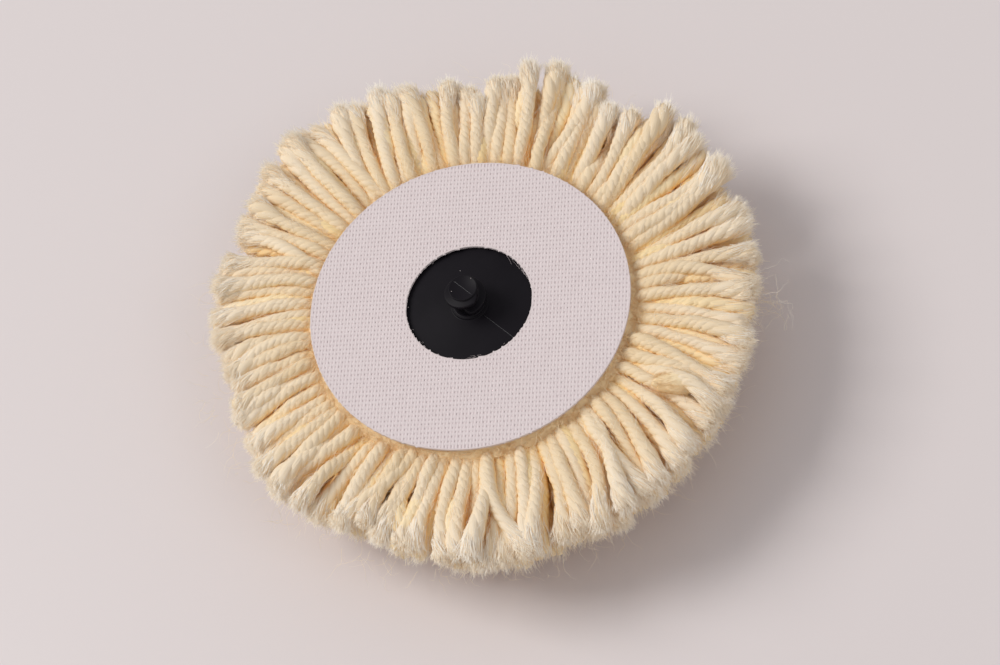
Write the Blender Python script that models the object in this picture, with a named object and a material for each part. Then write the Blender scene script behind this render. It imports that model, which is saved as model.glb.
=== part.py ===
"""A 3 inch wool polishing pad with a threaded quick-change stud, lying on its wool.

The pad is a stack of discs on a common axis, +Z, with the pile spreading out from under them.
Units are metres. The origin is on the axis, at the polishing face, where the wool meets the table.
"""

import math

import bmesh
import bpy
from mathutils import Matrix

MM = 0.001

# The discs, from the top down: each has a top height, a thickness and a radius.
CLOTH_RADIUS = 38.1 * MM
CLOTH_HOLE_RADIUS = 15.0 * MM
CLOTH_TOP = 28.5 * MM
CLOTH_THICKNESS = 0.7 * MM
FILM_THICKNESS = 0.2 * MM
LAYER_GAP = 0.1 * MM
CLOTH_GLUE_RADIUS = 34.6 * MM
CLOTH_GLUE_HOLE_RADIUS = 15.8 * MM
PLATE_RADIUS = 35.0 * MM
PLATE_THICKNESS = 1.4 * MM
PLATE_GLUE_RADIUS = 34.4 * MM
LATEX_RADIUS = 36.0 * MM
LATEX_THICKNESS = 0.9 * MM
TUFTING_RADIUS = 36.4 * MM
TUFTING_THICKNESS = 0.5 * MM
EDGE_BREAK = 0.15 * MM

# Heights that follow from the stack.
CLOTH_GLUE_TOP = CLOTH_TOP - CLOTH_THICKNESS - LAYER_GAP
PLATE_TOP = CLOTH_GLUE_TOP - FILM_THICKNESS - LAYER_GAP
PLATE_GLUE_TOP = PLATE_TOP - PLATE_THICKNESS - LAYER_GAP
LATEX_TOP = PLATE_GLUE_TOP - FILM_THICKNESS - LAYER_GAP
TUFTING_TOP = LATEX_TOP - LATEX_THICKNESS - LAYER_GAP
PILE_TOP = TUFTING_TOP - TUFTING_THICKNESS - 2.0 * LAYER_GAP

# The stud and its coarse right-hand thread.
STUD_HEIGHT = 8.0 * MM
STUD_CORE_RADIUS = 3.3 * MM
STUD_END_RADIUS = 3.0 * MM
STUD_BOSS_RADIUS = 4.5 * MM
STUD_BOSS_HEIGHT = 0.5 * MM
STUD_FILLET = 0.4 * MM
THREAD_RADIUS = 4.75 * MM
THREAD_PITCH = 3.5 * MM
THREAD_TURNS = 1.35
THREAD_START_HEIGHT = 1.7 * MM
THREAD_START_ANGLE = math.radians(-121.0)
THREAD_CREST_WIDTH = 1.5 * MM
THREAD_ROOT_WIDTH = 2.6 * MM
THREAD_SINK = 0.5 * MM

# The outer row of tufts: a tuft is both legs of one stitch, taken together as one round bundle.
# Each point is the bundle's distance from the axis, its height, and how thick it is there.
TUFT_COUNT = 48
TUFT_PATH = (
    (34.8 * MM, 21.9 * MM, 1.70 * MM),
    (38.4 * MM, 22.6 * MM, 1.85 * MM),
    (44.0 * MM, 23.6 * MM, 2.20 * MM),
    (51.0 * MM, 23.8 * MM, 2.60 * MM),
    (58.0 * MM, 23.2 * MM, 2.95 * MM),
    (62.6 * MM, 22.3 * MM, 3.10 * MM),
    (64.4 * MM, 21.9 * MM, 2.20 * MM),
)

# The outlines of the lower rows of the pile, as radius and height, each turned about the axis.
ROW_GAP = 0.4 * MM
ROW_2_UPPER = ((34.0, 19.2), (39.0, 19.9), (45.0, 20.7), (51.0, 20.4), (57.0, 19.3), (62.6, 18.0))
ROW_3_UPPER = ((30.0, 13.2), (36.0, 14.6), (43.0, 15.6), (50.0, 15.2), (56.0, 13.8), (62.0, 11.4))
ROW_4_UPPER = ((24.0, 6.6), (32.0, 8.2), (40.0, 9.2), (46.0, 8.6), (52.0, 6.8), (59.0, 4.4))
ROW_4_FOOT_RADIUS = 56.0 * MM
CORE_RADIUS = 18.0 * MM
CORE_EDGE = 1.0 * MM

DISC_STEPS = 64
HIDDEN_STEPS = 48
PILE_STEPS = 40
STUD_STEPS = 40


def clear_scene():
    """Remove whatever the file holds, so that only the pad is left."""
    for thing in list(bpy.data.objects):
        bpy.data.objects.remove(thing, do_unlink=True)


def make_material(name, colour, roughness, metallic=0.0):
    """A plain Principled material."""
    material = bpy.data.materials.new(name)
    material.use_nodes = True
    shader = material.node_tree.nodes["Principled BSDF"]
    shader.inputs["Base Color"].default_value = (*colour, 1.0)
    shader.inputs["Roughness"].default_value = roughness
    shader.inputs["Metallic"].default_value = metallic
    return material


def add_object(name, data, material):
    """Put a mesh or a curve into the scene under the node's name."""
    data.materials.append(material)
    thing = bpy.data.objects.new(name, data)
    bpy.context.scene.collection.objects.link(thing)
    return thing


def mesh_from(shape, name):
    """Close the bmesh's seams, turn its faces outward and hand back a mesh."""
    bmesh.ops.remove_doubles(shape, verts=shape.verts, dist=0.001 * MM)
    bmesh.ops.recalc_face_normals(shape, faces=shape.faces)
    mesh = bpy.data.meshes.new(name)
    shape.to_mesh(mesh)
    shape.free()
    mesh.shade_smooth()
    mesh.set_sharp_from_angle(angle=math.radians(35.0))
    return mesh


def turned_mesh(name, outline, steps, closed):
    """Turn an outline of (radius, height) points about the axis.

    A closed outline gives a ring. An open one starts and ends on the axis and gives a solid disc.
    """
    shape = bmesh.new()
    corners = [shape.verts.new((radius, 0.0, height)) for radius, height in outline]
    edges = [shape.edges.new(pair) for pair in zip(corners, corners[1:])]
    if closed:
        edges.append(shape.edges.new((corners[-1], corners[0])))
    bmesh.ops.spin(
        shape,
        geom=corners + edges,
        cent=(0.0, 0.0, 0.0),
        axis=(0.0, 0.0, 1.0),
        dvec=(0.0, 0.0, 0.0),
        angle=math.tau,
        steps=steps,
        use_merge=True,
        use_duplicate=False,
    )
    return mesh_from(shape, name)


def disc_outline(radius, top, thickness, edge):
    """The half section of a flat disc whose rim has a small chamfer."""
    bottom = top - thickness
    return (
        (0.0, bottom),
        (radius - edge, bottom),
        (radius, bottom + edge),
        (radius, top - edge),
        (radius - edge, top),
        (0.0, top),
    )


def ring_outline(inner, outer, top, thickness):
    """The section of a flat ring."""
    bottom = top - thickness
    return ((inner, bottom), (outer, bottom), (outer, top), (inner, top))


def make_backing_cloth():
    """The white woven disc that the holder presses on, with the hole for the stud."""
    material = make_material("white_backing_cloth", (0.66, 0.59, 0.58), 0.85)
    outline = ring_outline(CLOTH_HOLE_RADIUS, CLOTH_RADIUS, CLOTH_TOP, CLOTH_THICKNESS)
    return add_object("backing_cloth", turned_mesh("backing_cloth", outline, DISC_STEPS, True), material)


def make_cloth_glue():
    """The film of adhesive under the cloth."""
    material = make_material("adhesive_film", (0.75, 0.62, 0.36), 0.35)
    outline = ring_outline(CLOTH_GLUE_HOLE_RADIUS, CLOTH_GLUE_RADIUS, CLOTH_GLUE_TOP, FILM_THICKNESS)
    return add_object("cloth_glue", turned_mesh("cloth_glue", outline, HIDDEN_STEPS, True), material)


def plate_outline():
    """The half section of the plate and the plain core of its stud."""
    bottom = PLATE_TOP - PLATE_THICKNESS
    boss_top = PLATE_TOP + STUD_BOSS_HEIGHT
    stud_top = PLATE_TOP + STUD_HEIGHT
    chamfer = STUD_CORE_RADIUS - STUD_END_RADIUS
    return (
        (0.0, bottom),
        (PLATE_RADIUS - EDGE_BREAK, bottom),
        (PLATE_RADIUS, bottom + EDGE_BREAK),
        (PLATE_RADIUS, PLATE_TOP - EDGE_BREAK),
        (PLATE_RADIUS - EDGE_BREAK, PLATE_TOP),
        (STUD_BOSS_RADIUS + STUD_FILLET, PLATE_TOP),
        (STUD_BOSS_RADIUS, PLATE_TOP + STUD_FILLET),
        (STUD_BOSS_RADIUS - EDGE_BREAK, boss_top),
        (STUD_CORE_RADIUS + STUD_FILLET, boss_top),
        (STUD_CORE_RADIUS, boss_top + STUD_FILLET),
        (STUD_CORE_RADIUS, stud_top - chamfer),
        (STUD_END_RADIUS, stud_top),
        (0.0, stud_top),
    )


def thread_mesh():
    """The thread ridge: its section swept up a helix, with flat ends. Its inner side is in the core."""
    middle = PLATE_TOP + THREAD_START_HEIGHT
    inside = STUD_CORE_RADIUS - THREAD_SINK
    section = (
        (inside, middle - THREAD_ROOT_WIDTH / 2.0),
        (THREAD_RADIUS - EDGE_BREAK, middle - THREAD_CREST_WIDTH / 2.0 - EDGE_BREAK),
        (THREAD_RADIUS, middle - THREAD_CREST_WIDTH / 2.0),
        (THREAD_RADIUS, middle + THREAD_CREST_WIDTH / 2.0),
        (THREAD_RADIUS - EDGE_BREAK, middle + THREAD_CREST_WIDTH / 2.0 + EDGE_BREAK),
        (inside, middle + THREAD_ROOT_WIDTH / 2.0),
    )
    steps = round(STUD_STEPS * THREAD_TURNS)
    shape = bmesh.new()
    corners = [shape.verts.new((radius, 0.0, height)) for radius, height in section]
    edges = [shape.edges.new(pair) for pair in zip(corners, corners[1:] + corners[:1])]
    bmesh.ops.rotate(
        shape,
        verts=corners,
        cent=(0.0, 0.0, 0.0),
        matrix=Matrix.Rotation(THREAD_START_ANGLE, 3, "Z"),
    )
    bmesh.ops.spin(
        shape,
        geom=corners + edges,
        cent=(0.0, 0.0, 0.0),
        axis=(0.0, 0.0, 1.0),
        dvec=(0.0, 0.0, THREAD_PITCH * THREAD_TURNS / steps),
        angle=math.tau * THREAD_TURNS,
        steps=steps,
        use_merge=False,
        use_duplicate=False,
    )
    bmesh.ops.holes_fill(shape, edges=[edge for edge in shape.edges if edge.is_boundary])
    return mesh_from(shape, "thread_ridge")


def make_threaded_plate():
    """The black plate and its threaded stud, which are one moulding."""
    material = make_material("black_nylon", (0.018, 0.016, 0.020), 0.42)
    plate = add_object(
        "threaded_plate", turned_mesh("threaded_plate", plate_outline(), DISC_STEPS, False), material
    )
    ridge = add_object("thread_ridge", thread_mesh(), material)
    ridge.hide_render = True
    ridge.display_type = "WIRE"
    join = plate.modifiers.new("thread", "BOOLEAN")
    join.operation = "UNION"
    join.solver = "EXACT"
    join.object = ridge
    return plate


def make_plate_glue():
    """The film of adhesive between the plate and the wool pad's back."""
    material = bpy.data.materials["adhesive_film"]
    outline = disc_outline(PLATE_GLUE_RADIUS, PLATE_GLUE_TOP, FILM_THICKNESS, 0.05 * MM)
    return add_object("plate_glue", turned_mesh("plate_glue", outline, HIDDEN_STEPS, False), material)


def make_latex_coat():
    """The rubber coat that locks the tufts into their cloth."""
    material = make_material("tan_latex", (0.42, 0.28, 0.15), 0.7)
    outline = disc_outline(LATEX_RADIUS, LATEX_TOP, LATEX_THICKNESS, EDGE_BREAK)
    return add_object("latex_coat", turned_mesh("latex_coat", outline, HIDDEN_STEPS, False), material)


def make_tufting_cloth():
    """The cloth that the yarn is tufted through."""
    material = make_material("tufting_canvas", (0.55, 0.42, 0.26), 0.9)
    outline = disc_outline(TUFTING_RADIUS, TUFTING_TOP, TUFTING_THICKNESS, EDGE_BREAK)
    return add_object("tufting_cloth", turned_mesh("tufting_cloth", outline, HIDDEN_STEPS, False), material)


def tuft_curve(name):
    """One tuft of yarn: a tube along its path, swelling towards its brushed ends."""
    curve = bpy.data.curves.new(name, "CURVE")
    curve.dimensions = "3D"
    curve.bevel_depth = 1.0
    curve.bevel_resolution = 2
    curve.use_fill_caps = True
    spline = curve.splines.new("POLY")
    spline.points.add(len(TUFT_PATH) - 1)
    for point, (radius, height, thickness) in zip(spline.points, TUFT_PATH):
        point.co = (radius, 0.0, height, 1.0)
        point.radius = thickness
    return curve


def make_outer_tufts():
    """The outer row of tufts, alike and evenly spaced."""
    material = make_material("wool_yarn", (0.72, 0.52, 0.30), 0.95)
    curve = tuft_curve("yarn_tuft")
    curve.materials.append(material)
    tufts = []
    for number in range(TUFT_COUNT):
        tuft = bpy.data.objects.new(f"yarn_tuft_{number + 1:02d}", curve)
        tuft.rotation_euler.z = math.tau * number / TUFT_COUNT
        bpy.context.scene.collection.objects.link(tuft)
        tufts.append(tuft)
    return tufts


def row_outline(upper, lower, inner):
    """The section of one lower row: its upper side, and the next row's upper side moved down a gap."""
    top = [(radius * MM, height * MM) for radius, height in upper]
    bottom = [(radius * MM, height * MM + ROW_GAP) for radius, height in lower]
    outline = [(inner, PILE_TOP), (top[0][0], PILE_TOP)] + top
    outline += bottom[::-1]
    outline.append((inner, bottom[0][1]))
    return outline


def make_pile_row(name, outline):
    """One ring of the pile as a plain solid."""
    material = bpy.data.materials["wool_yarn"]
    return add_object(name, turned_mesh(name, outline, PILE_STEPS, True), material)


def make_pile():
    """The rows under the outer row, and the core that the pad rests on."""
    edge_2 = ROW_3_UPPER[0][0] * MM + ROW_GAP
    edge_3 = ROW_4_UPPER[0][0] * MM + ROW_GAP
    edge_4 = CORE_RADIUS + ROW_GAP
    make_pile_row("pile_row_2", row_outline(ROW_2_UPPER, ROW_3_UPPER, edge_2))
    make_pile_row("pile_row_3", row_outline(ROW_3_UPPER, ROW_4_UPPER, edge_3))
    upper = [(radius * MM, height * MM) for radius, height in ROW_4_UPPER]
    outline = [(edge_4, PILE_TOP), (upper[0][0], PILE_TOP)] + upper
    outline += [(ROW_4_FOOT_RADIUS, 0.0), (edge_4, 0.0)]
    make_pile_row("pile_row_4", outline)
    core = disc_outline(CORE_RADIUS, PILE_TOP, PILE_TOP, CORE_EDGE)
    material = bpy.data.materials["wool_yarn"]
    return add_object("pile_core", turned_mesh("pile_core", core, PILE_STEPS, False), material)


def main():
    clear_scene()
    make_backing_cloth()
    make_cloth_glue()
    make_threaded_plate()
    make_plate_glue()
    make_latex_coat()
    make_tufting_cloth()
    make_outer_tufts()
    make_pile()


main()
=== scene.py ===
# %% [markdown]
# # A wool polishing pad
# The pad lies on its wool with its threaded stud up. Its frame, that is its sizes and its pieces, comes
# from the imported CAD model. This file makes the looks: cloth that is woven, yarn that is plied from
# strands, ends that are brushed out into fibres, and a moulded black plate with its thread.

# %% The frame
import math

import bmesh
import bpy
import numpy as np
from mathutils import Matrix, Vector


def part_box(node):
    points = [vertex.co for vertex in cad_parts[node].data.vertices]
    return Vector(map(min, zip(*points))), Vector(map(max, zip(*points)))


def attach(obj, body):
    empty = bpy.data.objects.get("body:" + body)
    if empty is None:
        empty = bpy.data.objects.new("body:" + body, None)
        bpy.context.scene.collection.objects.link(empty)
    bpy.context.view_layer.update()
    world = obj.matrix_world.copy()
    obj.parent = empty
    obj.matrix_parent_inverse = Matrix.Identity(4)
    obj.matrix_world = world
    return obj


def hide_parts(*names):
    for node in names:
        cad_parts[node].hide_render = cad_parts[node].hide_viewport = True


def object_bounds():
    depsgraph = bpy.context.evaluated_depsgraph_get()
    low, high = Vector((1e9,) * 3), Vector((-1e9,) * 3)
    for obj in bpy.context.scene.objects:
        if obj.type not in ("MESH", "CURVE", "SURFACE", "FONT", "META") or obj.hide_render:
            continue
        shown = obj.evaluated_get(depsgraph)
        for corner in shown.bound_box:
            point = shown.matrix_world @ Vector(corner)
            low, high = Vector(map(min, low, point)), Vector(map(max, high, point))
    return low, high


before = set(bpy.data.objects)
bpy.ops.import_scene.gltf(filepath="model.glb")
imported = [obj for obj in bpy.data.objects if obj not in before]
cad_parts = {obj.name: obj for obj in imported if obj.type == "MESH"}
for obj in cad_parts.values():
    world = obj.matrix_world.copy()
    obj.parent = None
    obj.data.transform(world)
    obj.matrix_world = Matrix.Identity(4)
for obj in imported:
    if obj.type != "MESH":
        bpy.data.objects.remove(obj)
cad_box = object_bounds()
MM = 0.001
ROOT = "root"
print("CAD box in mm:", [[round(value / MM, 1) for value in corner] for corner in cad_box])

# %% [markdown]
# ## Sizes
# The cloth's top, bottom and radius, the plate's radius, the stud's top and the pile's reach are read from
# the boxes of the CAD nodes, so a change there moves the looks that use them. Other sizes, such as the
# hole and the stud's height, are given here.

# %% Sizes from the frame
cloth_low, cloth_high = (Vector(corner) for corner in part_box("backing_cloth"))
plate_low, plate_high = (Vector(corner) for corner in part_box("threaded_plate"))
tufting_low, tufting_high = (Vector(corner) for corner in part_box("tufting_cloth"))
latex_low, latex_high = (Vector(corner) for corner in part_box("latex_coat"))

CLOTH_TOP = cloth_high.z
CLOTH_RADIUS = cloth_high.x
CLOTH_HOLE = 15.0 * MM
PLATE_RADIUS = plate_high.x
STUD_TOP = plate_high.z
STUD_HEIGHT = 8.0 * MM
PLATE_TOP = STUD_TOP - STUD_HEIGHT
PILE_RADIUS = cad_box[1][0]
TUFTS = sorted(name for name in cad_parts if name.startswith("yarn_tuft"))
print("outer tufts:", len(TUFTS), " pile radius in mm:", round(PILE_RADIUS / MM, 1))

# %% [markdown]
# ## The camera
# The camera looks down on the pad at about sixty degrees, from a little over half a metre, and is
# rolled so that the stud leans to the left. Its axes are worked out first, and then it is put
# where the middle of the cloth falls in the right place of the picture.

# %% The camera
ELEVATION = math.radians(59.4)
ROLL = math.radians(22.3)
DISTANCE = 0.620
PICTURE_WIDTH = 0.2329
OFF_CENTRE = (-0.0073, 0.0071)


def make_camera():
    """A camera with a long lens, rolled about its own axis."""
    forward = Vector((0.0, math.cos(ELEVATION), -math.sin(ELEVATION)))
    level_up = Vector((0.0, math.sin(ELEVATION), math.cos(ELEVATION)))
    level_right = Vector((1.0, 0.0, 0.0))
    up = level_up * math.cos(ROLL) + level_right * math.sin(ROLL)
    right = level_right * math.cos(ROLL) - level_up * math.sin(ROLL)
    data = bpy.data.cameras.new("camera")
    data.sensor_width = 36.0
    data.lens = DISTANCE * data.sensor_width / PICTURE_WIDTH
    data.clip_start = 0.01
    data.clip_end = 20.0
    camera = bpy.data.objects.new("camera", data)
    target = Vector((0.0, 0.0, CLOTH_TOP)) - right * OFF_CENTRE[0] - up * OFF_CENTRE[1]
    place = Matrix((right, up, -forward)).transposed().to_4x4()
    place.translation = target - forward * DISTANCE
    camera.matrix_world = place
    bpy.context.scene.collection.objects.link(camera)
    bpy.context.scene.camera = camera
    return camera


camera = make_camera()
print("lens in mm:", round(camera.data.lens, 1))

# %% [markdown]
# ## Floor and light
# The pad lies on a smooth pale surface. One large soft light stands to the left and behind, a weaker
# one fills from the front, and a pale world lifts the shadows. Light may bounce a dozen times, because
# pale wool hardly absorbs it: that helps keep the depth of the pile golden and not black, together with
# the golden shade painted into the wool's colour.

# %% Floor and light
FLOOR_SIZE = 6.0


def link(thing):
    """Put an object into the scene."""
    bpy.context.scene.collection.objects.link(thing)
    return thing


def make_floor():
    """A wide plane, marked as the stage."""
    shape = bmesh.new()
    bmesh.ops.create_grid(shape, x_segments=1, y_segments=1, size=FLOOR_SIZE / 2.0)
    mesh = bpy.data.meshes.new("floor")
    shape.to_mesh(mesh)
    shape.free()
    material = bpy.data.materials.new("pale_floor")
    material.use_nodes = True
    shader = material.node_tree.nodes["Principled BSDF"]
    shader.inputs["Base Color"].default_value = (0.72, 0.665, 0.66, 1.0)
    shader.inputs["Roughness"].default_value = 0.38
    mesh.materials.append(material)
    floor = link(bpy.data.objects.new("floor", mesh))
    return floor


def make_area_light(name, place, target, size, watts, colour):
    """A square soft light that faces a point."""
    data = bpy.data.lights.new(name, "AREA")
    data.shape = "SQUARE"
    data.size = size
    data.energy = watts
    data.color = colour
    light = link(bpy.data.objects.new(name, data))
    light.location = place
    light.rotation_euler = (Vector(target) - Vector(place)).to_track_quat("-Z", "Y").to_euler()
    return light


def make_world(strength, colour):
    """An even pale surround."""
    world = bpy.data.worlds.new("surround")
    world.use_nodes = True
    background = world.node_tree.nodes["Background"]
    background.inputs["Color"].default_value = (*colour, 1.0)
    background.inputs["Strength"].default_value = strength
    bpy.context.scene.world = world


make_floor()
make_area_light("key_light", (-2.6, 1.5, 3.0), (0.0, 0.0, 0.02), 2.1, 120.0, (1.0, 0.98, 0.96))
make_area_light("fill_light", (0.9, -1.1, 1.6), (0.25, -0.2, 0.0), 0.9, 4.0, (1.0, 0.98, 0.98))
make_world(0.46, (1.0, 0.98, 1.0))
bpy.context.scene.view_settings.view_transform = "Standard"
bpy.context.scene.cycles.diffuse_bounces = 12

# %% [markdown]
# ## Fibre grain for materials
# Wool and cloth both show fine streaks that run along the strand. Each strand carries an attribute
# called grain, whose x and y go round the strand and whose z goes along it, slowly. Noise read at
# that place is drawn out along the strand by itself. The effect is used by several materials, so it
# is one node group, which puts out a mask and a height.

# %% Fibre grain group


def new_group(name, inputs, outputs):
    """A shader node group with float or vector sockets, and its two end nodes."""
    group = bpy.data.node_groups.new(name, "ShaderNodeTree")
    for socket, kind, value in inputs:
        made = group.interface.new_socket(name=socket, in_out="INPUT", socket_type=kind)
        if value is not None:
            made.default_value = value
    for socket, kind in outputs:
        group.interface.new_socket(name=socket, in_out="OUTPUT", socket_type=kind)
    return group, group.nodes.new("NodeGroupInput"), group.nodes.new("NodeGroupOutput")


def make_grain_group():
    """Streaks along a strand: a mask from 0 to 1, and a height."""
    group, start, end = new_group(
        "fibre_grain",
        [("Vector", "NodeSocketVector", None), ("Scale", "NodeSocketFloat", 3.0)],
        [("Mask", "NodeSocketFloat"), ("Height", "NodeSocketFloat")],
    )
    fine = group.nodes.new("ShaderNodeTexNoise")
    fine.inputs["Detail"].default_value = 3.0
    fine.inputs["Roughness"].default_value = 0.65
    group.links.new(start.outputs["Vector"], fine.inputs["Vector"])
    group.links.new(start.outputs["Scale"], fine.inputs["Scale"])
    spread = group.nodes.new("ShaderNodeMapRange")
    spread.inputs["From Min"].default_value = 0.32
    spread.inputs["From Max"].default_value = 0.68
    group.links.new(fine.outputs["Fac"], spread.inputs["Value"])
    group.links.new(spread.outputs["Result"], end.inputs["Mask"])
    group.links.new(fine.outputs["Fac"], end.inputs["Height"])
    return group


GRAIN = make_grain_group()
print("node group:", GRAIN.name)

# %% [markdown]
# ## Wool materials
# Wool is pale where the ends are brushed out and warmer towards the root. Deep in the pile and on the
# sides that face down, a golden painted shade is mixed in for the light that bounces from yarn to yarn.
# Each yarn has its own tone. The fine ends are a second material, paler and softer.

# %% Wool materials


def start_material(name, roughness):
    """A material with its Principled shader, ready for links."""
    material = bpy.data.materials.new(name)
    material.use_nodes = True
    shader = material.node_tree.nodes["Principled BSDF"]
    shader.inputs["Roughness"].default_value = roughness
    return material, material.node_tree, shader


def add_mix(tree, factor, first, second, blend="MIX"):
    """A colour mix whose inputs may be links, colours or numbers."""
    node = tree.nodes.new("ShaderNodeMix")
    node.data_type = "RGBA"
    node.blend_type = blend
    for socket, value in ((node.inputs[0], factor), (node.inputs[6], first), (node.inputs[7], second)):
        if isinstance(value, bpy.types.NodeSocket):
            tree.links.new(value, socket)
        elif isinstance(value, tuple):
            socket.default_value = (*value, 1.0)
        else:
            socket.default_value = value
    return node.outputs[2]


def add_ramp(tree, source, stops):
    """A colour ramp with (place, grey) stops."""
    node = tree.nodes.new("ShaderNodeValToRGB")
    ramp = node.color_ramp
    while len(ramp.elements) < len(stops):
        ramp.elements.new(0.5)
    for element, (place, grey) in zip(ramp.elements, stops):
        element.position = place
        element.color = (grey, grey, grey, 1.0)
    tree.links.new(source, node.inputs["Fac"])
    return node.outputs["Color"]


def add_attribute(tree, name, output):
    """A strand's own attribute."""
    node = tree.nodes.new("ShaderNodeAttribute")
    node.attribute_name = name
    return node.outputs[output]


def add_group(tree, group, **values):
    """A node group placed with its own values."""
    node = tree.nodes.new("ShaderNodeGroup")
    node.node_tree = group
    for name, value in values.items():
        if isinstance(value, bpy.types.NodeSocket):
            tree.links.new(value, node.inputs[name])
        else:
            node.inputs[name].default_value = value
    return node


def add_bump(tree, shader, height, strength, distance):
    """A bump that feeds the shader's normal."""
    node = tree.nodes.new("ShaderNodeBump")
    node.inputs["Strength"].default_value = strength
    node.inputs["Distance"].default_value = distance
    tree.links.new(height, node.inputs["Height"])
    tree.links.new(node.outputs["Normal"], shader.inputs["Normal"])


def add_range(tree, source, start, stop, low=0.0, high=1.0):
    """A number mapped from one range to another and held inside it."""
    node = tree.nodes.new("ShaderNodeMapRange")
    node.inputs["From Min"].default_value = start
    node.inputs["From Max"].default_value = stop
    node.inputs["To Min"].default_value = low
    node.inputs["To Max"].default_value = high
    tree.links.new(source, node.inputs["Value"])
    return node.outputs["Result"]


def add_math(tree, operation, first, second):
    """A sum or product of two linked numbers, held between 0 and 1."""
    node = tree.nodes.new("ShaderNodeMath")
    node.operation = operation
    node.use_clamp = True
    tree.links.new(first, node.inputs[0])
    tree.links.new(second, node.inputs[1])
    return node.outputs[0]


def add_height(tree, source):
    """The z of a vector output."""
    node = tree.nodes.new("ShaderNodeSeparateXYZ")
    tree.links.new(source, node.inputs[0])
    return node.outputs["Z"]


def make_wool(name, painted_shade_colour, middle_colour, tip_colour, streak_colour, painted_shade_amount=1.0):
    """Wool: pale outside and at the tips, with a golden painted shade down in the pile and on the sides that face
    down.
    """
    material, tree, shader = start_material(name, 0.95)
    along = add_attribute(tree, "along", "Fac")
    place = tree.nodes.new("ShaderNodeTexCoord").outputs["Object"]
    # Painted shade: the colour turns golden with depth below the pile's top and where the surface faces down, less so
    # towards the tips. It stands in for shade and for light bounced between yarns.
    under = add_range(tree, add_height(tree, place), PILE_TOP - 1.6 * MM, PILE_TOP - 5.0 * MM, 0.0, 1.0 * painted_shade_amount)
    facing = tree.nodes.new("ShaderNodeNewGeometry").outputs["Normal"]
    turned = add_range(tree, add_height(tree, facing), 0.75, -0.5, 0.0, 0.8 * painted_shade_amount)
    painted_shade = add_math(tree, "ADD", under, turned)
    painted_shade = add_math(tree, "MULTIPLY", painted_shade, add_range(tree, along, 0.55, 1.0, 1.0, 0.12))
    colour = add_mix(tree, add_range(tree, along, 0.15, 0.9), middle_colour, tip_colour)
    colour = add_mix(tree, painted_shade, colour, painted_shade_colour)
    streak = add_mix(tree, 1.0, colour, streak_colour, "MULTIPLY")
    grain = add_group(tree, GRAIN, Vector=add_attribute(tree, "grain", "Vector"), Scale=2.6)
    colour = add_mix(tree, grain.outputs["Mask"], streak, colour)
    toned = add_mix(tree, 1.0, colour, (0.95, 0.905, 0.82), "MULTIPLY")
    colour = add_mix(tree, add_attribute(tree, "tone", "Fac"), colour, toned)
    tree.links.new(colour, shader.inputs["Base Color"])
    shader.inputs["Specular IOR Level"].default_value = 0.1
    add_bump(tree, shader, grain.outputs["Height"], 0.8, 0.25 * MM)
    return material


PILE_TOP = 27.5 * MM
# Painted shade: the golden colour that make_wool mixes in deep in the pile and on sides that face down.
PAINTED_SHADE_GOLD = (0.98, 0.71, 0.27)
WOOL = make_wool("wool_yarn_plied", PAINTED_SHADE_GOLD, (0.885, 0.74, 0.535), (0.90, 0.79, 0.635), (0.97, 0.93, 0.85))
# The lower rows' copy is more golden than the top rows' wool: painted shade, for yarns that lie under others.
WOOL_UNDER = make_wool("wool_yarn_under_painted_shade", PAINTED_SHADE_GOLD, (0.96, 0.77, 0.44), (0.96, 0.83, 0.61), (0.97, 0.94, 0.88))
WOOL_ENDS = make_wool("wool_brushed_ends", PAINTED_SHADE_GOLD, (0.98, 0.905, 0.765), (0.988, 0.95, 0.875), (0.98, 0.97, 0.94), 0.12)
# The felt's deep colour is a darker painted shade than the yarns' gold.
WOOL_FELT = make_wool("wool_felted_roots", (0.78, 0.56, 0.27), (0.92, 0.75, 0.49), (0.93, 0.80, 0.58),
                      (0.92, 0.87, 0.78), 0.8)
print("wool materials:", [m.name for m in (WOOL, WOOL_UNDER, WOOL_ENDS, WOOL_FELT)])

# %% [markdown]
# ## One way to make every strand
# A ply, a loose fibre and a hair are all the same thing: a thin closed tube along a line. One tube is
# modelled, a ring of edges drawn out along Z, and an Array modifier repeats it once for each strand.
# Then every copy is bent along its own line by moving its vertices, all at once with numpy. The frame
# that carries the ring is turned as little as possible from point to point, so that no tube wrings.

# %% Strands


def unit(vectors):
    """Vectors brought to length one along their last axis."""
    return vectors / np.maximum(np.linalg.norm(vectors, axis=-1, keepdims=True), 1e-12)


def line_frames(lines):
    """Tangents and two steady side directions for lines of shape (strands, points, 3)."""
    tangents = unit(np.gradient(lines, axis=1))
    first = np.zeros_like(tangents)
    start = np.cross(tangents[:, 0], np.array((0.31, 0.52, 0.79)))
    first[:, 0] = unit(start)
    for step in range(1, lines.shape[1]):
        carried = first[:, step - 1]
        here = tangents[:, step]
        first[:, step] = unit(carried - here * np.sum(carried * here, axis=-1, keepdims=True))
    second = np.cross(tangents, first)
    return tangents, first, second


def tube_mesh(name, sides, steps):
    """A closed tube of radius one from z 0 to z 1, with a ring at each step."""
    shape = bmesh.new()
    bmesh.ops.create_circle(shape, cap_ends=False, segments=sides, radius=1.0)
    bmesh.ops.spin(
        shape,
        geom=list(shape.verts) + list(shape.edges),
        cent=(0.0, 0.0, 0.0),
        axis=(0.0, 0.0, 1.0),
        dvec=(0.0, 0.0, 1.0 / steps),
        angle=0.0,
        steps=steps,
        use_merge=False,
        use_duplicate=False,
    )
    bmesh.ops.holes_fill(shape, edges=[edge for edge in shape.edges if edge.is_boundary])
    bmesh.ops.recalc_face_normals(shape, faces=shape.faces)
    mesh = bpy.data.meshes.new(name)
    shape.to_mesh(mesh)
    shape.free()
    return mesh


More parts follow.
